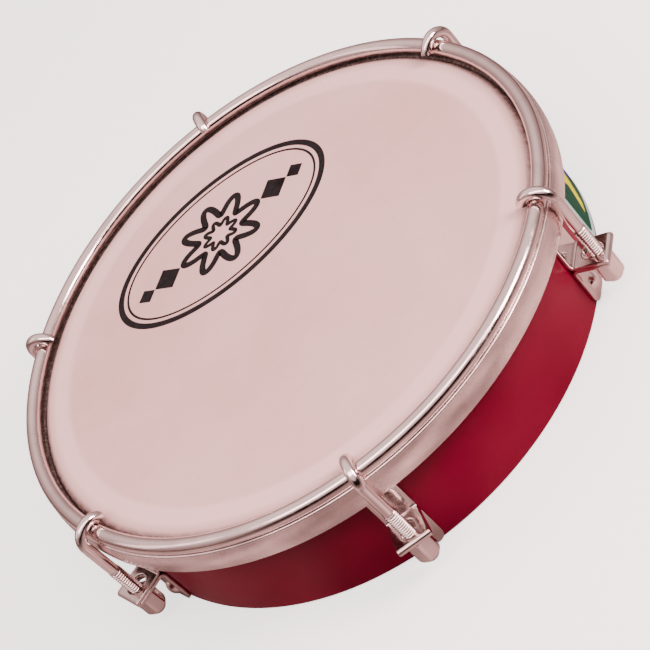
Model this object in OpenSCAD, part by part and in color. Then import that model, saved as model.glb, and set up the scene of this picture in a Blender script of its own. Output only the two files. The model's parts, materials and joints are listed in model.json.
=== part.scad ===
// Small single-headed frame drum: a lacquered steel shell, a plastic film head
// on a flesh hoop, and a counterhoop pulled down by J-hook tension rods.
// Units are millimetres. The origin is the centre of the shell's bottom rim
// and +Z runs along the drum's axis towards the head.

/* [Shell] */
// Outside diameter of the shell
shell_d = 152.4; // [148:0.2:158]
// Height from the bottom rim to the top of the head
drum_h = 35; // [33:0.5:45]
// Thickness of the shell's sheet
shell_t = 1; // [0.7:0.1:1.4]
// Outer radius of the turned-in bearing edge
edge_r = 2.6; // [2:0.1:3]

/* [Head] */
// Thickness of the head's film
film_t = 0.3; // [0.2:0.05:0.5]
// Depth of the film's collar below the playing surface
collar_h = 5.6; // [5:0.1:6.5]
// Height of the flesh hoop
flesh_h = 4.5; // [4:0.1:5]
// Radial width of the flesh hoop
flesh_w = 2.8; // [2.2:0.1:3]

/* [Counterhoop] */
// Diameter of the round wire ring
wire_d = 4.2; // [4:0.1:4.3]
// Height of the wire ring's centre above the playing surface
wire_rise = 0.9; // [0.85:0.05:1.2]
// Thickness of the flat band under the wire ring
band_t = 1.5; // [1:0.1:1.6]
// Height of the flat band
band_h = 7.3; // [5:0.1:8]

/* [Tension lugs] */
// Number of tension lugs around the shell
lug_count = 6; // [6]
// Diameter of a tension rod's plain shank
rod_d = 3.1; // [2.9:0.1:3.4]
// Outside diameter of the rod's rolled thread
thread_d = 3.5; // [3.4:0.1:3.6]
// Pitch of the rod's thread, 32 threads to the inch
thread_pitch = 0.794; // [0.5:0.001:0.8]
// Depth of the rod's thread
thread_depth = 0.4; // [0.2:0.02:0.44]
// Radius of the hook's bend at the rod's centre line
hook_bend = 4.3; // [4.3:0.1:4.6]
// Distance between a tension nut's flats
nut_af = 6; // [5.8:0.1:6.6]
// Length of a tension nut with its domed end
nut_len = 8.8; // [7.6:0.1:9.4]
// Width of a bracket's strip
bracket_w = 9; // [8:0.5:10]
// Thickness of a bracket's strip
bracket_t = 1; // [0.8:0.1:1.2]
// Reach of the bracket's shelf from the shell
shelf_reach = 11; // [10.8:0.1:12]
// Height of the shelf's top above the bottom rim
shelf_z = 15.4; // [14.5:0.1:16]
// Diameter of a rivet's domed head
rivet_head_d = 5; // [4:0.2:5.6]

/* [Label] */
// Width of the shell label, measured around the shell in degrees
label_angle = 36; // [10:1:40]
// Height of the shell label
label_h = 23; // [10:1:24]

/* [Hidden] */
$fn = 96;
eps = 0.01;

// Shell and head
shell_r = shell_d / 2;
shell_top = drum_h - film_t;
edge_axis_r = shell_r - edge_r;
edge_axis_z = shell_top - edge_r;
hem_r = 1.2;
hem_flat = 0.25;
collar_r = shell_r + film_t;
collar_z = drum_h - collar_h;
flesh_z = drum_h - 1.5 - flesh_h;
flesh_round = 0.8;

// Counterhoop
wire_r = wire_d / 2;
wire_axis_z = drum_h + wire_rise;
wire_axis_r = shell_r + 2.5;
band_outer_r = shell_r + 5.3;
band_inner_r = band_outer_r - band_t;
band_top = wire_axis_z - 1.2;
band_bottom = band_top - band_h;
weld_gap = 0.02;

// Tension rods: the hook's bend is centred just outside the wire ring
rod_r = rod_d / 2;
thread_r = thread_d / 2;
hook_axis_r = wire_axis_r + 0.3;
hook_axis_z = wire_axis_z - 0.56;
rod_axis_r = hook_axis_r + hook_bend;
hook_sweep = 160;
thread_top = 24.8;
rod_end = 7.8;
thread_turns = floor((thread_top - rod_end) / thread_pitch);

// Brackets
rest_gap = 0.02;
bracket_x = shell_r + bracket_t;
shelf_end_x = shell_r + shelf_reach;
fold_gap = 0.1;
shelf_bottom = shelf_z - 2 * bracket_t - fold_gap;
fold_r = (shelf_z - shelf_bottom) / 2;
riser_top = band_bottom - 0.5;
foot_bottom = 0.7;
bend_r = 0.8;
bend_outer_r = bend_r + bracket_t;
slot_w = thread_d + 0.8;
slot_len = 6;
slot_x = rod_axis_r + slot_w / 2 - slot_len / 2;
corner_cut = 2.2;

// Nuts
nut_top = shelf_bottom - 0.05;
nut_bore_r = thread_r + 0.06;
nut_end_r = 2.1;
nut_dome_h = 2.4;
nut_wall = 1.8;
nut_corner_r = nut_af / sqrt(3);

// Rivets
rivet_z = 4.9;
rivet_shank_r = 1.5;
rivet_fit = 0.03;
rivet_head_h = 1.3;
rivet_tail_d = 4;
rivet_tail_h = 0.9;

// Label
label_t = 0.12;
label_z = 1.6;

// Angle of lug k about the drum's axis, counting from 1.
function lug_angle(k) = 150 - 360 / lug_count * k;

// Places its children in the frame of lug k, where +X runs radially outward.
module at_lug(k) {
  rotate([0, 0, lug_angle(k)])
    children();
}

// Radial hole through the shell or a bracket at the rivet's place.
module rivet_hole(radius) {
  translate([shell_r, 0, rivet_z])
    rotate([0, 90, 0])
      cylinder(r = radius, h = 8, center = true);
}

// Outline of the shell's wall, from its bottom hem to its bearing edge.
module shell_profile() {
  translate([shell_r - shell_t, hem_r])
    square([shell_t, edge_axis_z - hem_r]);
  intersection() {
    translate([shell_r - hem_r, hem_r - hem_flat])
      circle(r = hem_r);
    translate([shell_r - 3 * hem_r, 0])
      square([3 * hem_r, 3 * hem_r]);
  }
  intersection() {
    translate([edge_axis_r, edge_axis_z])
      difference() {
        circle(r = edge_r);
        circle(r = edge_r - shell_t);
      }
    translate([edge_axis_r - 0.6, edge_axis_z])
      square([edge_r + 1, edge_r + 1]);
  }
}

module shell() {
  color([0.55, 0.1, 0.16])
    difference() {
      rotate_extrude()
        shell_profile();
      for (k = [1 : lug_count])
        at_lug(k)
          rivet_hole(rivet_shank_r + rivet_fit);
    }
}

// Rounded ring that the film is anchored in.
module flesh_hoop() {
  color([0.72, 0.69, 0.68])
    rotate_extrude()
      translate([collar_r, flesh_z]) {
        translate([0, flesh_round])
          square([flesh_w, flesh_h - 2 * flesh_round]);
        translate([flesh_round, 0])
          square([flesh_w - 2 * flesh_round, flesh_h]);
        for (x = [flesh_round, flesh_w - flesh_round])
          for (z = [flesh_round, flesh_h - flesh_round])
            translate([x, z])
              circle(r = flesh_round);
      }
}

// Film: flat playing surface, rolled over the bearing edge into a collar.
module drumhead() {
  color([0.88, 0.79, 0.78])
    rotate_extrude() {
      translate([0, shell_top])
        square([edge_axis_r, film_t]);
      intersection() {
        translate([edge_axis_r, edge_axis_z])
          difference() {
            circle(r = edge_r + film_t);
            circle(r = edge_r);
          }
        translate([edge_axis_r, edge_axis_z])
          square(2 * edge_r);
      }
      translate([shell_r, collar_z])
        square([film_t, edge_axis_z - collar_z]);
    }
}

// Thin printed label that follows the shell's curve.
module shell_label() {
  color([0.1, 0.5, 0.3])
    rotate([0, 0, -label_angle / 2])
      rotate_extrude(angle = label_angle)
        translate([shell_r + rest_gap, label_z])
          square([label_t, label_h]);
}

// Flat band of the counterhoop, hollowed along its top for the wire ring.
module hoop_band() {
  color([0.72, 0.62, 0.61])
    rotate_extrude()
      difference() {
        translate([band_inner_r, band_bottom])
          square([band_t, band_h]);
        translate([wire_axis_r, wire_axis_z])
          circle(r = wire_r + weld_gap);
      }
}

module hoop_wire() {
  color([0.8, 0.71, 0.7])
    rotate_extrude()
      translate([wire_axis_r, wire_axis_z])
        circle(r = wire_r);
}

// Outline of the thread: one ring per turn, with flat crests.
module thread_profile() {
  root_r = thread_r - thread_depth;
  turns = [
    for (i = [0 : thread_turns - 1])
      let (z = rod_end + i * thread_pitch)
      each [
        [root_r, z],
        [thread_r, z + 0.4 * thread_pitch],
        [thread_r, z + 0.6 * thread_pitch]
      ]
  ];
  polygon(concat(
    [[0, rod_end]],
    turns,
    [[root_r, thread_top], [0, thread_top]]
  ));
}

// J-hook: threaded end, plain shank, and a bend over the wire ring that
// ends just above the head.
module tension_rod(k) {
  color([0.78, 0.69, 0.68])
    at_lug(k) {
      translate([rod_axis_r, 0, 0])
        rotate_extrude()
          thread_profile();
      translate([rod_axis_r, 0, thread_top])
        cylinder(r = rod_r, h = hook_axis_z - thread_top);
      translate([hook_axis_r, 0, hook_axis_z])
        rotate([90, 0, 0])
          rotate_extrude(angle = hook_sweep)
            translate([hook_bend, 0])
              circle(r = rod_r);
    }
}

// Closed hexagon nut: chamfered at the shelf, domed at its free end.
module tension_nut(k) {
  color([0.76, 0.66, 0.64])
    at_lug(k)
      translate([rod_axis_r, 0, nut_top - nut_len])
        difference() {
          intersection() {
            cylinder(r = nut_corner_r, h = nut_len, $fn = 6);
            rotate_extrude()
              polygon([
                [0, 0],
                [nut_end_r - 0.5, 0],
                [nut_end_r, 0.3],
                [nut_corner_r, nut_dome_h],
                [nut_corner_r, nut_len - 0.4],
                [nut_af / 2, nut_len],
                [0, nut_len]
              ]);
          }
          translate([0, 0, nut_wall])
            cylinder(r = nut_bore_r, h = nut_len);
        }
}

// Side outline of a bracket: riser, shelf folded double, and foot.
module bracket_profile() {
  difference() {
    union() {
      translate([shell_r - 1, foot_bottom])
        square([bracket_t + 1, riser_top - foot_bottom]);
      translate([shell_r, shelf_bottom])
        square([shelf_reach - fold_r, 2 * fold_r]);
      translate([shelf_end_x - fold_r, shelf_bottom + fold_r])
        circle(r = fold_r);
      // Inside bends, where the shelf leaves the riser and the foot
      difference() {
        translate([bracket_x - eps, shelf_bottom - bend_r])
          square([bend_r, 2 * (fold_r + bend_r)]);
        for (z = [shelf_z + bend_r, shelf_bottom - bend_r])
          translate([bracket_x + bend_r, z])
            circle(r = bend_r);
      }
    }
    // Line between the two layers of the fold
    translate([shell_r - 2, shelf_bottom + bracket_t])
      square([shelf_reach - fold_r + 2, fold_gap]);
    // Outside bends, rounded against the shell
    difference() {
      translate([shell_r - eps, shelf_bottom + bracket_t - bend_outer_r])
        square([bend_outer_r, 2 * bend_outer_r + fold_gap]);
      for (z = [shelf_bottom - bend_r, shelf_z + bend_r])
        translate([shell_r + bend_outer_r, z])
          circle(r = bend_outer_r);
    }
  }
}

// Cuts a strip's two outer corners at one end, in the plane of the shell.
module corner_cuts(z, up) {
  for (side = [-1, 1])
    translate([shell_r + 1, side * bracket_w / 2, z])
      rotate([up * side * 40, 0, 0])
        cube([6, 2 * corner_cut, 1.6 * corner_cut], center = true);
}

// Elongated hole for the rod through both layers of the shelf.
module rod_slot() {
  half = (slot_len - slot_w) / 2;
  translate([slot_x, 0, shelf_bottom - 1]) {
    for (side = [-1, 1])
      translate([side * half, 0, 0])
        cylinder(r = slot_w / 2, h = 2 * fold_r + 2);
    translate([-half, -slot_w / 2, 0])
      cube([2 * half, slot_w, 2 * fold_r + 2]);
  }
}

module bracket(k) {
  color([0.72, 0.63, 0.61])
    at_lug(k)
      difference() {
        translate([0, bracket_w / 2, 0])
          rotate([90, 0, 0])
            linear_extrude(bracket_w)
              bracket_profile();
        rod_slot();
        rivet_hole(rivet_shank_r + rivet_fit);
        corner_cuts(foot_bottom, 1);
        corner_cuts(riser_top, -1);
        cylinder(r = shell_r + rest_gap, h = 2 * drum_h, center = true, $fn = 720);
      }
}

// Rivet through the bracket's foot and the shell, headed on both sides.
module rivet(k) {
  head_sphere_r = (pow(rivet_head_d / 2, 2) + pow(rivet_head_h, 2)) / (2 * rivet_head_h);
  head_x = bracket_x + rest_gap;
  tail_x = shell_r - shell_t - 0.12;
  color([0.75, 0.67, 0.66])
    at_lug(k)
      translate([0, 0, rivet_z])
        rotate([0, 90, 0]) {
          intersection() {
            translate([0, 0, head_x + rivet_head_h - head_sphere_r])
              sphere(r = head_sphere_r);
            translate([0, 0, head_x])
              cylinder(d = rivet_head_d + 1, h = rivet_head_h + 1);
          }
          translate([0, 0, tail_x - eps])
            cylinder(r = rivet_shank_r, h = head_x - tail_x + 2 * eps);
          translate([0, 0, tail_x - rivet_tail_h])
            cylinder(d = rivet_tail_d, h = rivet_tail_h);
        }
}

shell();
flesh_hoop();
drumhead();
shell_label();
hoop_band();
hoop_wire();
for (k = [1 : lug_count]) {
  tension_rod(k);
  tension_nut(k);
  bracket(k);
  rivet(k);
}
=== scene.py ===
import json
import math

import bmesh
import bpy
import numpy as np
from mathutils import Matrix, Vector


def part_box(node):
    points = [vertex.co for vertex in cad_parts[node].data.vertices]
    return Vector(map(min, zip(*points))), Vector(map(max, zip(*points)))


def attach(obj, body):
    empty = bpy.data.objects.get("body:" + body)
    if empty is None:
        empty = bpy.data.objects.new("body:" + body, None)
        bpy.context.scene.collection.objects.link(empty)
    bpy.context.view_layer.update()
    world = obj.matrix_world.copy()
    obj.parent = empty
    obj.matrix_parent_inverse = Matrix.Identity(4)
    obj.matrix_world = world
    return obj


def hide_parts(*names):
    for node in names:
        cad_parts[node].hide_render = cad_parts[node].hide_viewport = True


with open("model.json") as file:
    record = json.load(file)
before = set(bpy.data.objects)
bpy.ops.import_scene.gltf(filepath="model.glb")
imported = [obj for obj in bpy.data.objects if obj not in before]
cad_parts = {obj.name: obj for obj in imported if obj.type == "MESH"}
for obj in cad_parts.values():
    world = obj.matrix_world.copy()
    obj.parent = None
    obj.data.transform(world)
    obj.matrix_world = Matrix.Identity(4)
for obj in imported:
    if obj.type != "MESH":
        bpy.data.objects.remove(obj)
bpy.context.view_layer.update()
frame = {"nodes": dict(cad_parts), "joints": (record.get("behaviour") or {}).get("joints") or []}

# ---------------------------------------------------------------- measures
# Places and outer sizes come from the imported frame; the constants below are
# only the thicknesses and roundings that a box can't give. Metres.

MM = 0.001
SHELL_T = 1.0 * MM
FILM_T = 0.3 * MM
EDGE_R = 2.6 * MM
EDGE_SWEEP = 103
EDGE_SWEEP_INNER = 112
HEM_R = 1.2 * MM
HEM_FLAT = 0.25 * MM
BAND_T = 1.5 * MM
BAND_SOFT = 0.45 * MM
BAND_BULGE = 0.35 * MM
ROD_R = 1.55 * MM
HOOK_BEND = 4.3 * MM
HOOK_SWEEP = 152
HOOK_TIP = 0.7 * MM
THREAD_R = 1.75 * MM
THREAD_PITCH = 0.794 * MM
THREAD_DEPTH = 0.5 * MM
THREAD_TOP = 24.8 * MM
THREAD_START_CUT = 0.6 * MM
THREAD_FADE_TURNS = 1.6
NUT_FLATS = 6.0 * MM
NUT_CHAMFER = 2.4 * MM
NUT_CORNER_WEAR = 0.2 * MM
NUT_RIM_CUT = 0.62 * MM
NUT_RIM_RISE = 0.45 * MM
STRIP_T = 1.0 * MM
STRIP_HALF_W = 4.4 * MM
STRIP_FLARE = 0.3 * MM
FOLD_GAP = 0.1 * MM
BEND_R = 0.8 * MM
SHELF_TOP = 15.4 * MM
SLOT_W = 4.3 * MM
SLOT_LEN = 6.0 * MM
RIVET_HEAD_R = 2.5 * MM
RIVET_HEAD_H = 1.3 * MM
RIVET_TAIL_R = 2.0 * MM
RIVET_TAIL_H = 0.9 * MM
RIVET_SHANK_R = 1.5 * MM
PRINT_LIFT = 0.02 * MM
PRINT_CENTRE = (-8.5 * MM, 33 * MM, 0)
PRINT_TURN = 6
LABEL_BORDER = 1.8 * MM
LABEL_LIFTS = (0.05 * MM, 0.07 * MM, 0.09 * MM)

film_lo, film_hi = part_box("drumhead")
wire_lo, wire_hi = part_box("hoop_wire")
band_lo, band_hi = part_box("hoop_band")
label_lo, label_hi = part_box("shell_label")

shell_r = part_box("shell")[1].y
film_z = film_hi.z
edge_axis_r = shell_r - EDGE_R
edge_axis_z = film_z - FILM_T - EDGE_R
wire_r = (wire_hi.z - wire_lo.z) / 2
wire_z = (wire_hi.z + wire_lo.z) / 2
wire_ring_r = wire_hi.y - wire_r
FILM_BEARING_R = edge_axis_r - 3.5 * MM
FILM_GROOVE_R = edge_axis_r + 1.9 * MM
FILM_DIP = 0.12 * MM
DISH_OUTER = 2 * MM
DISH_WIDTH = 5 * MM

# Rod axes, one per lug, from the joints that the nuts turn on
lugs = [Vector(j["pos_m"]) for j in frame["joints"] if j["type"] == "hinge"]
rod_axis_r = math.hypot(lugs[0].x, lugs[0].y)
rod_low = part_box("tension_rod_1")[0].z
rod_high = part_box("tension_rod_1")[1].z
hook_z = rod_high - ROD_R - HOOK_BEND
nut_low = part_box("tension_nut_1")[0].z
nut_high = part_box("tension_nut_1")[1].z
strip_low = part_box("bracket_1")[0].z
strip_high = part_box("bracket_1")[1].z
shelf_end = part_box("bracket_1")[1].y
rivet_lo, rivet_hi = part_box("rivet_1")

ROUND_STEPS = 480


# ------------------------------------------------------------ mesh helpers
def arc(centre_x, centre_z, radius, start, stop, count=8):
    """Points along an arc, with its ends at start and stop in degrees."""
    angles = np.radians(np.linspace(start, stop, count + 1))
    return [(centre_x + radius * math.cos(a), centre_z + radius * math.sin(a)) for a in angles]


def at_lug(k):
    """Matrix from lug k's own frame, where +X is radial, to the drum's."""
    return Matrix.Rotation(math.atan2(lugs[k].y, lugs[k].x), 4, "Z")


def piece(name, verts, faces, body, material, replaces=(), sharp=32, matrix=None):
    """Makes a mesh object that rides on a CAD body and stands for its nodes."""
    mesh = bpy.data.meshes.new(name)
    mesh.from_pydata([tuple(v) for v in verts], [], faces)
    if matrix is not None:
        mesh.transform(matrix)
    mesh.materials.append(material)
    tidy = bmesh.new()
    tidy.from_mesh(mesh)
    bmesh.ops.remove_doubles(tidy, verts=tidy.verts, dist=1e-7)
    bmesh.ops.recalc_face_normals(tidy, faces=tidy.faces)
    tidy.to_mesh(mesh)
    tidy.free()
    mesh.shade_smooth()
    mesh.set_sharp_from_angle(angle=math.radians(sharp))
    made = bpy.data.objects.new(name, mesh)
    bpy.context.scene.collection.objects.link(made)
    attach(made, body)
    if replaces:
        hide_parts(*replaces)
    return made


def lathe(outline, steps=ROUND_STEPS):
    """Turns a closed outline of (radius, height) points about +Z."""
    verts, rings = [], []
    for radius, height in outline:
        count = steps if radius > 1e-9 else 1
        rings.append((len(verts), count))
        for i in range(count):
            a = 2 * math.pi * i / steps
            verts.append((radius * math.cos(a), radius * math.sin(a), height))
    faces = []
    for (low, low_n), (high, high_n) in zip(rings, rings[1:] + rings[:1]):
        for i in range(steps):
            j = (i + 1) % steps
            corners = [low + i % low_n, low + j % low_n, high + j % high_n, high + i % high_n]
            corners = list(dict.fromkeys(corners))
            if len(corners) > 2:
                faces.append(corners)
    return verts, faces


def tube(rows, sides=40):
    """Skins rings of (centre, across, along, radii) and caps both ends."""
    verts, faces = [], []
    for centre, across, along, radii in rows:
        for i in range(sides):
            a = 2 * math.pi * i / sides
            out = math.cos(a) * across + math.sin(a) * along
            verts.append(centre + radii[i] * out)
    for r in range(len(rows) - 1):
        for i in range(sides):
            j = (i + 1) % sides
            faces.append((r * sides + i, r * sides + j, (r + 1) * sides + j, (r + 1) * sides + i))
    faces.append(tuple(range(sides)))
    faces.append(tuple(range((len(rows) - 1) * sides, len(rows) * sides)))
    return verts, faces


# --------------------------------------------------------------- materials
class Shader:
    """A procedural material under construction."""

    def __init__(self, name, **sockets):
        self.material = bpy.data.materials.new(name)
        self.material.use_nodes = True
        self.nodes = self.material.node_tree.nodes
        self.links = self.material.node_tree.links
        self.surface = self.nodes["Principled BSDF"]
        self.place = self.nodes.new("ShaderNodeTexCoord").outputs["Object"]
        for socket, value in sockets.items():
            self.surface.inputs[socket.replace("_", " ")].default_value = value

    def noise(self, scale, detail=4, roughness=0.55, stretch=(1, 1, 1)):
        mapping = self.nodes.new("ShaderNodeMapping")
        mapping.inputs["Scale"].default_value = stretch
        self.links.new(self.place, mapping.inputs["Vector"])
        texture = self.nodes.new("ShaderNodeTexNoise")
        texture.inputs["Scale"].default_value = scale
        texture.inputs["Detail"].default_value = detail
        texture.inputs["Roughness"].default_value = roughness
        self.links.new(mapping.outputs["Vector"], texture.inputs["Vector"])
        return texture.outputs["Fac"]

    def radius(self):
        """Distance from the drum's axis."""
        flatten = self.nodes.new("ShaderNodeVectorMath")
        flatten.operation = "MULTIPLY"
        flatten.inputs[1].default_value = (1, 1, 0)
        self.links.new(self.place, flatten.inputs[0])
        length = self.nodes.new("ShaderNodeVectorMath")
        length.operation = "LENGTH"
        self.links.new(flatten.outputs["Vector"], length.inputs[0])
        return length.outputs["Value"]

    def ramp(self, source, *stops):
        """Maps a value to colours given as (position, (r, g, b)) stops."""
        made = self.nodes.new("ShaderNodeValToRGB")
        elements = made.color_ramp.elements
        while len(elements) < len(stops):
            elements.new(0.5)
        for element, (position, colour) in zip(elements, stops):
            element.position = position
            element.color = (*colour, 1)
        self.links.new(source, made.inputs["Fac"])
        return made.outputs["Color"]

    def span(self, source, low, high, source_low=0.3, source_high=0.7):
        """Maps a value's usual range to low..high."""
        made = self.nodes.new("ShaderNodeMapRange")
        made.inputs["From Min"].default_value = source_low
        made.inputs["From Max"].default_value = source_high
        made.inputs["To Min"].default_value = low
        made.inputs["To Max"].default_value = high
        self.links.new(source, made.inputs["Value"])
        return made.outputs["Result"]

    def mix(self, factor, first, second, blend="MIX"):
        made = self.nodes.new("ShaderNodeMix")
        made.data_type = "RGBA"
        made.blend_type = blend
        if isinstance(factor, float):
            made.inputs[0].default_value = factor
        else:
            self.links.new(factor, made.inputs[0])
        for socket, value in ((made.inputs[6], first), (made.inputs[7], second)):
            if isinstance(value, tuple):
                socket.default_value = (*value, 1)
            else:
                self.links.new(value, socket)
        return made.outputs[2]

    def bump(self, height, distance, strength=1.0, below=None):
        made = self.nodes.new("ShaderNodeBump")
        made.inputs["Distance"].default_value = distance
        made.inputs["Strength"].default_value = strength
        self.links.new(height, made.inputs["Height"])
        if below is not None:
            self.links.new(below, made.inputs["Normal"])
        return made.outputs["Normal"]

    def set(self, **sources):
        for socket, source in sources.items():
            self.links.new(source, self.surface.inputs[socket.replace("_", " ")])
        return self.material


def plated_metal(name, tint, dull=0.1, wave=0.02 * MM, worn=0.25, grain=0.6):
    """Bright plating with soft waves, fine polishing lines and worn patches."""
    s = Shader(name, Metallic=1.0)
    broad = s.noise(90, 3)
    fine = s.noise(2600, 5, 0.6)
    dark = tuple(c * (1 - worn * 0.45) for c in tint)
    colour = s.ramp(broad, (0.32, dark), (0.55, tint), (0.8, tuple(min(1, c * 1.04) for c in tint)))
    patches = s.span(s.noise(340, 6, 0.65), dull, dull + 0.16, 0.45, 0.75)
    waves = s.bump(s.noise(260, 2, 0.4), wave)
    return s.set(
        Base_Color=colour,
        Roughness=patches,
        Normal=s.bump(fine, 0.0025 * MM, grain, waves),
    )


def lacquer(name, colour, deep):
    """Glossy paint over metal: slight orange peel and a clear coat."""
    s = Shader(name, Roughness=0.3, Specular_IOR_Level=0.1, Coat_Weight=0.06, Coat_Roughness=0.05)
    tone = s.ramp(s.noise(34, 4), (0.3, deep), (0.65, colour))
    specks = s.ramp(s.noise(3800, 3, 0.7), (0.3, (0.84, 0.84, 0.84)), (0.7, (1, 1, 1)))
    peel = s.bump(s.noise(1100, 3), 0.008 * MM)
    return s.set(
        Base_Color=s.mix(1.0, tone, specks, "MULTIPLY"),
        Roughness=s.span(s.noise(250, 3), 0.29, 0.31),
        Normal=peel,
    )


def milky_film(name, colour, shade):
    """Translucent satin film, faintly mottled through its thickness."""
    s = Shader(
        name,
        Roughness=0.3,
        Specular_IOR_Level=0.32,
        Coat_Weight=0.12,
        Coat_Roughness=0.1,
        Subsurface_Weight=0.15,
        Subsurface_Radius=(1, 0.8, 0.75),
        Subsurface_Scale=1.0 * MM,
    )
    cloud = s.ramp(s.noise(22, 5, 0.6), (0.3, shade), (0.7, colour))
    grain = s.ramp(s.noise(2200, 4, 0.7), (0.25, (0.95, 0.945, 0.94)), (0.7, (1, 1, 1)))
    plain = s.mix(1.0, cloud, grain, "MULTIPLY")
    radius = s.radius()
    # Painted light: paler where the film bears on the shell. Painted shade: darker towards the hoop. Then
    # the groove: grime specks, darkened further with painted shade
    # pale is a painted lighter band, standing in for light coming through the film over the bearing edge
    pale = tuple(min(1, c * 1.05 + 0.02) for c in colour)
    bearing = s.mix(s.span(radius, 0, 1, FILM_BEARING_R - 3.5 * MM, FILM_BEARING_R - 2 * MM), plain, pale)
    # Painted shade: the film is darkened towards the hoop, where shade falls; the mask named marks
    # carries it
    painted_rim_shade = tuple(c * f for c, f in zip(shade, (0.36, 0.36, 0.36)))
    marks = s.span(radius, 0, 0.7, FILM_BEARING_R + 1.6 * MM, edge_axis_r + 2.2 * MM)
    bearing = s.mix(marks, bearing, painted_rim_shade)
    # Groove by the hoop: grime specks (patches) and painted shade that darkens the whole groove
    patches = s.span(s.noise(420, 5, 0.7), 0, 1, 0.44, 0.56)
    groove_grime_and_shade = s.mix(patches, (0.04, 0.025, 0.022), (0.34, 0.22, 0.21))
    groove = s.span(radius, 0, 0.85, FILM_GROOVE_R - 1.3 * MM, FILM_GROOVE_R + 0.5 * MM)
    return s.set(
        Base_Color=s.mix(groove, bearing, groove_grime_and_shade),
        Roughness=s.span(s.noise(600, 5), 0.26, 0.38),
        Normal=s.bump(s.noise(1500, 4), 0.004 * MM),
    )


def printed(name, colour, gloss=0.35):
    """Printed ink: nearly even, with a faint grain."""
    s = Shader(name, Roughness=gloss, Specular_IOR_Level=0.03)
    paler = tuple(min(1, c * 1.25 + 0.01) for c in colour)
    tone = s.ramp(s.noise(900, 5, 0.7), (0.35, colour), (0.75, paler))
    return s.set(Base_Color=tone, Roughness=s.span(s.noise(700, 3), gloss - 0.06, gloss + 0.08))


def shadowed_metal(name, tint):
    """Dull ring metal, tinted near black as painted shade in the groove, with specks of dried glue along
    it.
    """
    s = Shader(name, Metallic=0.8, Roughness=0.55)
    specks = s.ramp(s.noise(1300, 6, 0.75), (0.46, tint), (0.6, tuple(c * 3.2 for c in tint)))
    return s.set(
        Base_Color=specks,
        Roughness=s.span(s.noise(500, 5), 0.45, 0.75),
        Normal=s.bump(s.noise(1600, 5), 0.05 * MM),
    )


HOOP_TINT = (0.84, 0.705, 0.69)
ROD_TINT = (0.87, 0.75, 0.735)
STRIP_TINT = (0.74, 0.625, 0.61)

chrome = plated_metal("hoop_chrome", HOOP_TINT, 0.12)
band_chrome = plated_metal("band_chrome", HOOP_TINT, 0.2, 0.03 * MM, 0.5, 0.1)
rod_chrome = plated_metal("rod_chrome", ROD_TINT, 0.1)
strip_nickel = plated_metal("bracket_nickel", STRIP_TINT, 0.14, 0.03 * MM, 0.4, 0.3)
nut_nickel = plated_metal("nut_nickel", ROD_TINT, 0.08, 0.05 * MM, 0.4, 0.2)
rivet_nickel = plated_metal("rivet_nickel", ROD_TINT, 0.12)
red = lacquer("red_lacquer", (0.215, 0.0025, 0.028), (0.165, 0.0018, 0.02))
film = milky_film("head_film", (0.88, 0.565, 0.545), (0.76, 0.46, 0.44))
ink = printed("head_ink", (0.012, 0.010, 0.011), 0.4)
# Near-black tint: painted shade for the flesh hoop down in the groove
hoop_painted_shade = shadowed_metal("flesh_hoop_shaded_metal", (0.09, 0.065, 0.06))
label_silver = printed("label_silver", (0.34, 0.56, 0.56), 0.5)
label_green = printed("label_green", (0.0, 0.05, 0.026), 0.5)
label_yellow = printed("label_yellow", (0.62, 0.62, 0.0), 0.5)
label_blue = printed("label_blue", (0.012, 0.012, 0.2), 0.5)


# ------------------------------------------------------------------- shell
def make_shell():
    """Tube with a hem at the bottom and a bearing edge at the top."""
    hem_x = shell_r - HEM_R
    hem_z = HEM_R - HEM_FLAT
    cut = math.degrees(math.asin(hem_z / HEM_R))
    inner = edge_axis_r + EDGE_R - SHELL_T
    join = math.degrees(math.acos((inner - hem_x) / HEM_R))
    outline = arc(hem_x, hem_z, HEM_R, -cut, 0)
    outline += arc(edge_axis_r, edge_axis_z, EDGE_R, 0, EDGE_SWEEP, 14)
    outline += arc(edge_axis_r, edge_axis_z, EDGE_R - SHELL_T, EDGE_SWEEP_INNER, 0, 12)
    outline += arc(hem_x, hem_z, HEM_R, join, 180 + cut, 16)
    verts, faces = lathe(outline)
    piece("shell_skin", verts, faces, "drum", red, ["shell"])


# -------------------------------------------------------------------- head
def make_film():
    """Flat film, rolled over the bearing edge and down into the hoop."""
    collar = [(shell_r, film_lo.z), (shell_r + FILM_T, film_lo.z)]
    dished = []
    for t in np.linspace(0, 1, 9):
        fall = FILM_DIP * (3 * t**2 - 2 * t**3)
        dished.append((FILM_BEARING_R + DISH_OUTER - DISH_WIDTH * t, -fall))
    outline = [(0, film_z - FILM_T - FILM_DIP)]
    outline += [(r, film_z - FILM_T + z) for r, z in dished[::-1]]
    outline += arc(edge_axis_r, edge_axis_z, EDGE_R, 90, 0, 14)
    outline += collar
    outline += arc(edge_axis_r, edge_axis_z, EDGE_R + FILM_T, 0, 90, 14)
    outline += [(r, film_z + z) for r, z in dished]
    outline += [(0, film_z - FILM_DIP)]
    verts, faces = lathe(outline)
    piece("film_head", verts, faces, "drum", film, ["drumhead"])


def ribbon(points, width, height):
    """Flat closed stroke of an even width along a closed outline."""
    points = np.array(points)
    ahead = np.roll(points, -1, 0) - np.roll(points, 1, 0)
    ahead /= np.linalg.norm(ahead, axis=1)[:, None]
    side = np.stack([-ahead[:, 1], ahead[:, 0]], 1) * width / 2
    count = len(points)
    verts = [(x, y, height) for x, y in np.concatenate([points - side, points + side])]
    faces = [(i, (i + 1) % count, count + (i + 1) % count, count + i) for i in range(count)]
    return verts, faces


def join_parts(parts):
    """Puts several (verts, faces) pairs into one."""
    verts, faces = [], []
    for part_verts, part_faces in parts:
        start = len(verts)
        verts += list(part_verts)
        faces += [tuple(start + i for i in f) for f in part_faces]
    return verts, faces


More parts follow.
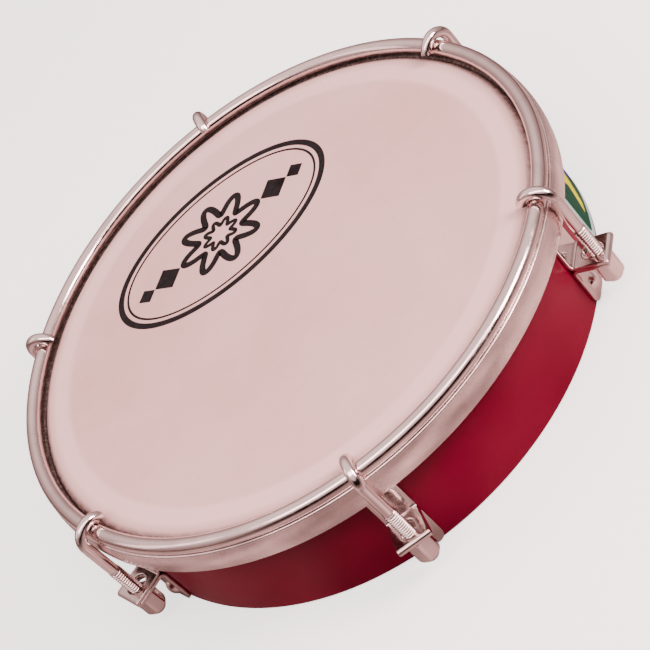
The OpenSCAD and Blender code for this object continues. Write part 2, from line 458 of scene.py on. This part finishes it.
def make_head_print():
    """A generic printed badge: an oval border round a rosette and diamonds."""
    height = film_z - FILM_DIP + PRINT_LIFT
    half_len, half_wid = 35 * MM, 22 * MM
    petals = 8
    turn = np.linspace(0, 2 * math.pi, 181)[:-1]

    def oval(shrink):
        long, short = half_len - shrink, half_wid - shrink
        return [(long * math.cos(t), short * math.sin(t)) for t in turn]

    def rosette(mean, swing):
        radii = mean + swing * np.cos(petals * turn)
        return [(r * math.cos(t), r * math.sin(t)) for r, t in zip(radii, turn)]

    parts = [
        ribbon(oval(0), 1.9 * MM, height),
        ribbon(oval(2.4 * MM), 0.7 * MM, height),
        ribbon(rosette(10.2 * MM, 3.0 * MM), 2.1 * MM, height),
        ribbon(rosette(4.4 * MM, 1.1 * MM), 1.3 * MM, height),
    ]
    for side in (-1, 1):
        for reach, size in ((19.0, 4.6), (26.5, 2.9)):
            x = side * reach * MM
            s = size * MM
            diamond = [(x + s, 0, height), (x, s, height), (x - s, 0, height), (x, -s, height)]
            parts.append((diamond, [(0, 1, 2, 3)]))
    verts, faces = join_parts(parts)
    turned = Matrix.Rotation(math.radians(PRINT_TURN), 4, "Z")
    placed = Matrix.Translation(PRINT_CENTRE) @ turned
    piece("head_print", verts, faces, "drum", ink, matrix=placed)


# ------------------------------------------------------------------- label
def make_label():
    """Printed label on the shell: silver border, green field, simple marks."""
    half_turn = math.asin(label_hi.y / label_hi.x)
    half_w = shell_r * half_turn
    half_h = (label_hi.z - label_lo.z) / 2
    mid_z = (label_hi.z + label_lo.z) / 2

    def rounded(width, height, radius, count=10):
        corners = ((1, 1, 0), (-1, 1, 90), (-1, -1, 180), (1, -1, 270))
        points = []
        for sx, sz, start in corners:
            centre = (sx * (width - radius), sz * (height - radius))
            points += arc(*centre, radius, start, start + 90, count)
        return points

    def sheet(name, outline, lift, material, centre=(0, 0), rings=14):
        """Fills an outline from its middle out, laid on the shell's curve."""
        outline = densify(outline, 0.8 * MM)
        count = len(outline)
        verts = [(0, 0)]
        for ring in range(1, rings + 1):
            verts += [(x * ring / rings, z * ring / rings) for x, z in outline]
        faces = [(0, 1 + i, 1 + (i + 1) % count) for i in range(count)]
        for ring in range(rings - 1):
            a, b = 1 + ring * count, 1 + (ring + 1) * count
            faces += [(a + i, b + i, b + (i + 1) % count, a + (i + 1) % count) for i in range(count)]
        radius = shell_r + lift
        bent = []
        for x, z in verts:
            turn = (x + centre[0]) / shell_r
            bent.append((radius * math.cos(turn), radius * math.sin(turn), mid_z + z + centre[1]))
        piece(name, bent, faces, "drum", material, ["shell_label"])

    def densify(points, step):
        dense = []
        for (ax, az), (bx, bz) in zip(points, points[1:] + points[:1]):
            count = max(1, round(math.hypot(bx - ax, bz - az) / step))
            dense += [(ax + (bx - ax) * i / count, az + (bz - az) * i / count) for i in range(count)]
        return dense

    border_lift, field_lift, mark_lift = LABEL_LIFTS
    sheet("label_border", rounded(half_w, half_h, 2.2 * MM), border_lift, label_silver)
    field = rounded(half_w - LABEL_BORDER, half_h - LABEL_BORDER, 1.2 * MM)
    sheet("label_field", field, field_lift, label_green)
    chevron = [(6.5, 0), (-1, 7.5), (-5, 7.5), (-1.2, 0), (-5, -7.5), (-1, -7.5)]
    for side in (-1, 1):
        outline = [(-side * x * MM, z * MM) for x, z in chevron]
        centre = (side * 11.5 * MM, 0)
        sheet(f"label_chevron_{'l' if side < 0 else 'r'}", outline, mark_lift, label_yellow, centre)
    sheet("label_spot", arc(0, 0, 6.5 * MM, 0, 354, 59), mark_lift, label_blue)


# ------------------------------------------------------------- counterhoop
def make_hoop():
    """Round wire ring welded on the top edge of a flat band."""
    section = arc(wire_ring_r, wire_z, wire_r, 0, 348.75, 31)
    verts, faces = lathe(section, 720)
    piece("wire_ring", verts, faces, "counterhoop", chrome, ["hoop_wire"], sharp=60)
    outer = band_hi.y
    inner = outer - BAND_T
    top, low = band_hi.z, band_lo.z
    soft = BAND_SOFT
    rounded_x = outer - BAND_BULGE - soft
    outline = arc(rounded_x, low + soft, soft, -90, 0)
    for i in range(1, 12):
        t = i / 6 - 1
        height = (top + low) / 2 + (top - low - 2 * soft) / 2 * t
        outline.append((outer - BAND_BULGE * t**2, height))
    outline += arc(rounded_x, top - soft, soft, 0, 90)
    outline += arc(inner + soft / 2, top - soft / 2, soft / 2, 90, 180)
    outline += arc(inner + soft / 2, low + soft / 2, soft / 2, 180, 270)
    verts, faces = lathe(outline)
    piece("flat_band", verts, faces, "counterhoop", band_chrome, ["hoop_band"])


# ------------------------------------------------------------ tension lugs
def thread_radius(height, turn):
    """Radius of the rod's right-hand thread at a height and an angle."""
    phase = (height / THREAD_PITCH - turn / (2 * math.pi)) % 1
    crest = min(1.0, max(0.0, abs(2 * phase - 1) * 1.35 - 0.12))
    run_out = min(1.0, max(0.0, (THREAD_TOP - height) / (THREAD_FADE_TURNS * THREAD_PITCH)))
    start = min(1.0, max(0.0, (height - rod_low) / THREAD_PITCH))
    rolled = THREAD_R - max(THREAD_DEPTH * (1 - crest), THREAD_START_CUT * (1 - start))
    return ROD_R + (rolled - ROD_R) * run_out


def make_rod(k):
    """J-hook with a true helical thread, a plain shank and a rounded tip."""
    sides = 40
    across, along = Vector((1, 0, 0)), Vector((0, 1, 0))
    turns = [2 * math.pi * i / sides for i in range(sides)]
    rows = []
    count = round((THREAD_TOP - rod_low) / THREAD_PITCH * 9)
    for i in range(count + 1):
        z = rod_low + (THREAD_TOP - rod_low) * i / count
        rows.append((Vector((rod_axis_r, 0, z)), across, along, [thread_radius(z, t) for t in turns]))
    plain = [ROD_R] * sides
    for i in range(1, 9):
        z = THREAD_TOP + (hook_z - THREAD_TOP) * i / 9
        rows.append((Vector((rod_axis_r, 0, z)), across, along, plain))
    bend_x = rod_axis_r - HOOK_BEND
    for angle in np.radians(np.linspace(0, HOOK_SWEEP, 40)):
        outward = Vector((math.cos(angle), 0, math.sin(angle)))
        rows.append((Vector((bend_x, 0, hook_z)) + HOOK_BEND * outward, outward, along, plain))
    tip = rows[-1]
    ahead = tip[1].cross(along) * -1
    for angle in np.radians((22, 42, 60, 75)):
        radius = ROD_R - HOOK_TIP * (1 - math.cos(angle))
        centre = tip[0] + ahead * HOOK_TIP * math.sin(angle)
        rows.append((centre, tip[1], along, [radius] * sides))
    verts, faces = tube(rows, sides)
    name = f"j_hook_{k + 1}"
    node = f"tension_rod_{k + 1}"
    piece(name, verts, faces, "counterhoop", rod_chrome, [node], 50, at_lug(k))


def make_nut(k):
    """Closed hexagon nut with a chamfered, slightly domed free end."""
    flat = NUT_FLATS / 2
    corner = flat / math.cos(math.radians(30))
    length = nut_high - nut_low
    sides = 96
    dome = [(0, 0), (0.7, 0.01), (1.3, 0.06), (1.7, 0.17), (1.95, 0.33), (2.12, 0.55)]
    limits = [(r * MM, z * MM) for r, z in dome]
    dome_r, dome_z = limits[-1]
    for i in range(1, 13):
        t = i / 12
        limits.append((dome_r + (corner - dome_r) * t, dome_z + (NUT_CHAMFER - dome_z) * t))
    for i in range(1, 6):
        limits.append((corner, NUT_CHAMFER + (length - NUT_RIM_RISE - NUT_CHAMFER) * i / 5))
    for i in range(1, 7):
        limits.append((corner - NUT_RIM_CUT * i / 6, length - NUT_RIM_RISE * (1 - i / 6)))
    limits.append((0, length))
    verts, rings = [], []
    for limit, z in limits:
        ring = []
        for i in range(sides if limit > 0 else 1):
            a = 2 * math.pi * i / sides
            nearest = (a + math.pi / 6) % (math.pi / 3) - math.pi / 6
            hexagon = flat / math.cos(math.pi / 6 - abs(nearest))
            r = min(limit, hexagon, corner - NUT_CORNER_WEAR)
            ring.append(len(verts))
            verts.append((rod_axis_r + r * math.cos(a), r * math.sin(a), nut_low + z))
        rings.append(ring)
    faces = []
    for low, high in zip(rings, rings[1:]):
        for i in range(sides):
            j = (i + 1) % sides
            lower = [low[i % len(low)], low[j % len(low)]]
            upper = [high[j % len(high)], high[i % len(high)]]
            faces.append(tuple(dict.fromkeys(lower + upper)))
    number = k + 1
    name = f"hex_nut_{number}"
    node = f"tension_nut_{number}"
    piece(name, verts, faces, f"nut_{number}", nut_nickel, [node], 24, at_lug(k))


def strip_route():
    """Middle line of the folded strip, as (x, z) points in the lug's plane."""
    plate_x = shell_r + 0.03 * MM + STRIP_T / 2
    bend = BEND_R + STRIP_T / 2
    fold = (STRIP_T + FOLD_GAP) / 2
    fold_x = shelf_end - STRIP_T / 2 - fold
    upper = SHELF_TOP - STRIP_T / 2
    lower = upper - 2 * fold
    route = []

    def straight(x0, z0, x1, z1, count):
        for i in range(count + 1):
            t = i / count
            route.append((x0 + (x1 - x0) * t, z0 + (z1 - z0) * t))

    straight(plate_x, strip_high, plate_x, upper + bend, 16)
    route += arc(plate_x + bend, upper + bend, bend, 180, 270, 8)
    straight(plate_x + bend, upper, fold_x, upper, 48)
    route += arc(fold_x, upper - fold, fold, 90, -90, 14)
    straight(fold_x, lower, plate_x + bend, lower, 48)
    route += arc(plate_x + bend, lower - bend, bend, 90, 180, 8)
    straight(plate_x, lower - bend, plate_x, strip_low, 22)
    clean = [route[0]]
    for point in route[1:]:
        if math.dist(point, clean[-1]) > 1e-6:
            clean.append(point)
    return clean


def slot_half(x):
    """Half width of the rod's slot at a distance from the drum's axis."""
    half = SLOT_W / 2
    far = rod_axis_r + half
    near = far - SLOT_LEN
    if x <= near or x >= far:
        return 0.0
    into = min(x - near, far - x, half)
    return math.sqrt(max(0.0, half**2 - (half - into) ** 2))


def make_bracket(k):
    """One folded strip: riser, doubled shelf with a slot, and a foot."""
    route = strip_route()
    high, low = route[0][1], route[-1][1]
    flare_x, flare_len = shell_r + 2 * MM, 6 * MM

    def half_width(x, z, in_foot):
        flare = STRIP_FLARE * min(1.0, max(0.0, (x - flare_x) / flare_len))
        width = STRIP_HALF_W + flare
        from_end = (z - low) if in_foot else (high - z)
        if x < flare_x:
            cut = 3.0 * MM if in_foot else 1.6 * MM
            keep = 2.0 * MM if in_foot else 1.2 * MM
            if from_end < cut:
                width -= keep * (1 - math.sqrt(max(0.0, 1 - (1 - from_end / cut) ** 2)))
        return width

    columns = 5
    verts, faces = [], []
    middle = len(route) // 2
    for i, (x, z) in enumerate(route):
        width = half_width(x, z, i > middle)
        gap = slot_half(x) if x > shell_r + 2.5 * MM else 0.0
        for side in (-1, 1):
            for j in range(columns):
                y = side * (gap + (width - gap) * j / (columns - 1))
                verts.append((x, y, z))
    per_row = 2 * columns
    for i in range(len(route) - 1):
        for side in range(2):
            for j in range(columns - 1):
                a = i * per_row + side * columns + j
                quad = (a, a + 1, a + per_row + 1, a + per_row)
                faces.append(quad if side else quad[::-1])
    number = k + 1
    made = piece(
        f"folded_bracket_{number}",
        verts,
        faces,
        "drum",
        strip_nickel,
        [f"bracket_{number}"],
        40,
        at_lug(k),
    )
    thick = made.modifiers.new("sheet_thickness", "SOLIDIFY")
    thick.thickness = STRIP_T
    thick.offset = 0
    soften = made.modifiers.new("worn_edges", "BEVEL")
    soften.width = 0.16 * MM
    soften.segments = 2
    soften.limit_method = "ANGLE"
    soften.angle_limit = math.radians(55)


def make_rivet(k):
    """Domed head outside, shank through foot and shell, flat head inside."""
    head_x = shell_r + STRIP_T + 0.02 * MM
    tail_x = rivet_lo.y
    mid_z = (rivet_lo.z + rivet_hi.z) / 2
    dome_r = (RIVET_HEAD_R**2 + RIVET_HEAD_H**2) / (2 * RIVET_HEAD_H)
    start = math.degrees(math.asin((dome_r - RIVET_HEAD_H) / dome_r))
    soft, under = 0.3 * MM, 0.1 * MM
    tail_top = tail_x + RIVET_TAIL_H
    outline = [(0, tail_x)]
    outline += arc(RIVET_TAIL_R - soft, tail_x + soft, soft, -90, 0, 4)
    outline += [(RIVET_TAIL_R, tail_top), (RIVET_SHANK_R, tail_top), (RIVET_SHANK_R, head_x)]
    outline += [(RIVET_HEAD_R - under, head_x)]
    dome = arc(0, head_x + RIVET_HEAD_H - dome_r, dome_r, start, 90, 12)
    outline += dome[:-1] + [(0, head_x + RIVET_HEAD_H)]
    verts, faces = lathe(outline, 48)
    outward = Matrix.Translation((0, 0, mid_z)) @ Matrix.Rotation(math.pi / 2, 4, "Y")
    node = f"rivet_{k + 1}"
    matrix = at_lug(k) @ outward
    piece(f"domed_{node}", verts, faces, "drum", rivet_nickel, [node], 30, matrix)


# ------------------------------------------------------ stage and lighting
STAGE_WHITE = (0.95, 0.945, 0.94, 1)
FLOOR_DROP = 0.05 * MM
FLOOR_GLOW = 1.6
# Reflected floor colours: a painted pool of light, bright near the drum and dark far off
FLOOR_NEAR, FLOOR_MIDDLE, FLOOR_FAR = (0.64, 0.5, 0.485), (0.23, 0.168, 0.162), (0.06, 0.045, 0.043)
ROOM_DUSK, ROOM_HAZE, ROOM_SKY = (0.27, 0.18, 0.172), (0.48, 0.32, 0.305), (1, 0.78, 0.755)
ROOM_GAP = (0.008, 0.004, 0.004, 1)
ROOM_STRENGTH = 1.45
BACKDROP_STRENGTH = 3.4
BLUSH = (1, 0.77, 0.745)


def seen_by_camera(nodes, links, for_camera, for_light):
    """Mixes two shaders: one that is looked at, one that lights and reflects."""
    path = nodes.new("ShaderNodeLightPath")
    mixed = nodes.new("ShaderNodeMixShader")
    links.new(path.outputs["Is Camera Ray"], mixed.inputs["Fac"])
    links.new(for_light, mixed.inputs[1])
    links.new(for_camera, mixed.inputs[2])
    return mixed.outputs["Shader"]


def make_stage():
    """Plain pale floor. It reflects as a duller one, with a painted pool of light: bright near the drum,
    dark far off, so that plating has depth.
    """
    bpy.ops.mesh.primitive_plane_add(size=12, location=(0, 0, -FLOOR_DROP))
    floor = bpy.context.object
    floor.name = "floor"
    s = Shader("floor_paint", Roughness=0.8, Specular_IOR_Level=0.1)
    # Painted pool of light: the reflected floor darkens with distance from the drum
    reach = s.span(s.radius(), 0, 1, 0.1, 0.9)
    painted_light_pool = s.ramp(reach, (0, FLOOR_NEAR), (0.16, FLOOR_MIDDLE), (0.7, FLOOR_FAR))
    mottle = s.ramp(s.noise(17, 2), (0.38, (0.34, 0.33, 0.33)), (0.62, (1, 1, 1)))
    floor.data.materials.append(s.set(Base_Color=s.mix(1.0, painted_light_pool, mottle, "MULTIPLY")))
    white = s.nodes.new("ShaderNodeBsdfDiffuse")
    white.inputs["Color"].default_value = STAGE_WHITE
    glow = s.nodes.new("ShaderNodeEmission")
    glow.inputs["Strength"].default_value = FLOOR_GLOW
    both = s.nodes.new("ShaderNodeAddShader")
    s.links.new(white.outputs["BSDF"], both.inputs[0])
    s.links.new(glow.outputs["Emission"], both.inputs[1])
    shown = seen_by_camera(s.nodes, s.links, both.outputs["Shader"], s.surface.outputs["BSDF"])
    s.links.new(shown, s.nodes["Material Output"].inputs["Surface"])


def make_light(name, place, size, power):
    """Rectangular soft light that faces the drum."""
    data = bpy.data.lights.new(name, "AREA")
    data.shape = "RECTANGLE"
    data.size, data.size_y = size
    data.energy = power
    data.color = BLUSH
    lamp = bpy.data.objects.new(name, data)
    lamp.location = place
    toward = Vector((0, 0, film_z)) - Vector(place)
    lamp.rotation_euler = toward.to_track_quat("-Z", "Y").to_euler()
    bpy.context.scene.collection.objects.link(lamp)


def make_world():
    """Bright room with one dark gap low down in front, for the plating's line."""
    world = bpy.data.worlds.new("studio")
    world.use_nodes = True
    nodes, links = world.node_tree.nodes, world.node_tree.links
    place = nodes.new("ShaderNodeTexCoord").outputs["Generated"]
    split = nodes.new("ShaderNodeSeparateXYZ")
    links.new(place, split.inputs["Vector"])

    def ramp(source, stops):
        made = nodes.new("ShaderNodeValToRGB")
        while len(made.color_ramp.elements) < len(stops):
            made.color_ramp.elements.new(0.5)
        for element, (position, colour) in zip(made.color_ramp.elements, stops):
            element.position = position
            element.color = (*colour, 1)
        links.new(source, made.inputs["Fac"])
        return made.outputs["Color"]

    room = ramp(split.outputs["Z"], ((0, ROOM_DUSK), (0.4, ROOM_HAZE), (0.8, ROOM_SKY)))
    front = nodes.new("ShaderNodeVectorMath")
    front.operation = "DOT_PRODUCT"
    front.inputs[1].default_value = (0.1, -1, 0)
    links.new(place, front.inputs[0])
    black, white = (0, 0, 0), (1, 1, 1)
    ahead = ramp(front.outputs["Value"], ((0.3, black), (0.7, white)))
    low = ramp(split.outputs["Z"], ((0.0, black), (0.02, white), (0.42, white), (0.5, black)))
    gap = nodes.new("ShaderNodeMath")
    gap.operation = "MULTIPLY"
    links.new(ahead, gap.inputs[0])
    links.new(low, gap.inputs[1])
    darkened = nodes.new("ShaderNodeMix")
    darkened.data_type = "RGBA"
    links.new(gap.outputs["Value"], darkened.inputs[0])
    links.new(room, darkened.inputs[6])
    darkened.inputs[7].default_value = ROOM_GAP
    lighting = nodes["Background"]
    links.new(darkened.outputs[2], lighting.inputs["Color"])
    lighting.inputs["Strength"].default_value = ROOM_STRENGTH
    backdrop = nodes.new("ShaderNodeBackground")
    backdrop.inputs["Color"].default_value = STAGE_WHITE
    backdrop.inputs["Strength"].default_value = BACKDROP_STRENGTH
    shown = seen_by_camera(nodes, links, backdrop.outputs["Background"], lighting.outputs["Background"])
    links.new(shown, nodes["World Output"].inputs["Surface"])
    bpy.context.scene.world = world


def make_camera():
    """Looks down on the head from the front, rolled so that it stands up."""
    azimuth, elevation, roll = (math.radians(v) for v in (12.44, 37.44, 44.33))
    aim = Vector((7.8, -27.1, 35.1)) * MM
    distance = 507.5 * MM
    forward = Vector((
        -math.sin(azimuth) * math.cos(elevation),
        math.cos(azimuth) * math.cos(elevation),
        -math.sin(elevation),
    ))
    level = forward.cross(Vector((0, 0, 1))).normalized()
    upright = level.cross(forward)
    up = math.cos(roll) * upright + math.sin(roll) * level
    right = forward.cross(up)
    data = bpy.data.cameras.new("camera")
    data.lens = 113.6
    data.clip_start, data.clip_end = 0.02, 60
    camera = bpy.data.objects.new("camera", data)
    turn = Matrix((right, up, -forward)).transposed().to_4x4()
    camera.matrix_world = Matrix.Translation(aim - forward * distance) @ turn
    bpy.context.scene.collection.objects.link(camera)
    bpy.context.scene.camera = camera


make_camera()
make_shell()
make_film()
make_head_print()
make_label()
make_hoop()
for lug in range(len(lugs)):
    make_rod(lug)
    make_nut(lug)
    make_bracket(lug)
    make_rivet(lug)

flesh = frame["nodes"]["flesh_hoop"]
flesh.data.materials.clear()
flesh.data.materials.append(hoop_painted_shade)

make_stage()
make_world()
make_light("softbox_front", (0, -0.34, 0.6), (0.9, 0.2), 3.8)
make_light("softbox_key", (0.55, -0.22, 0.4), (0.25, 0.25), 6)
make_light("softbox_left", (-1.0, 0.1, 0.7), (0.3, 0.8), 1.2)
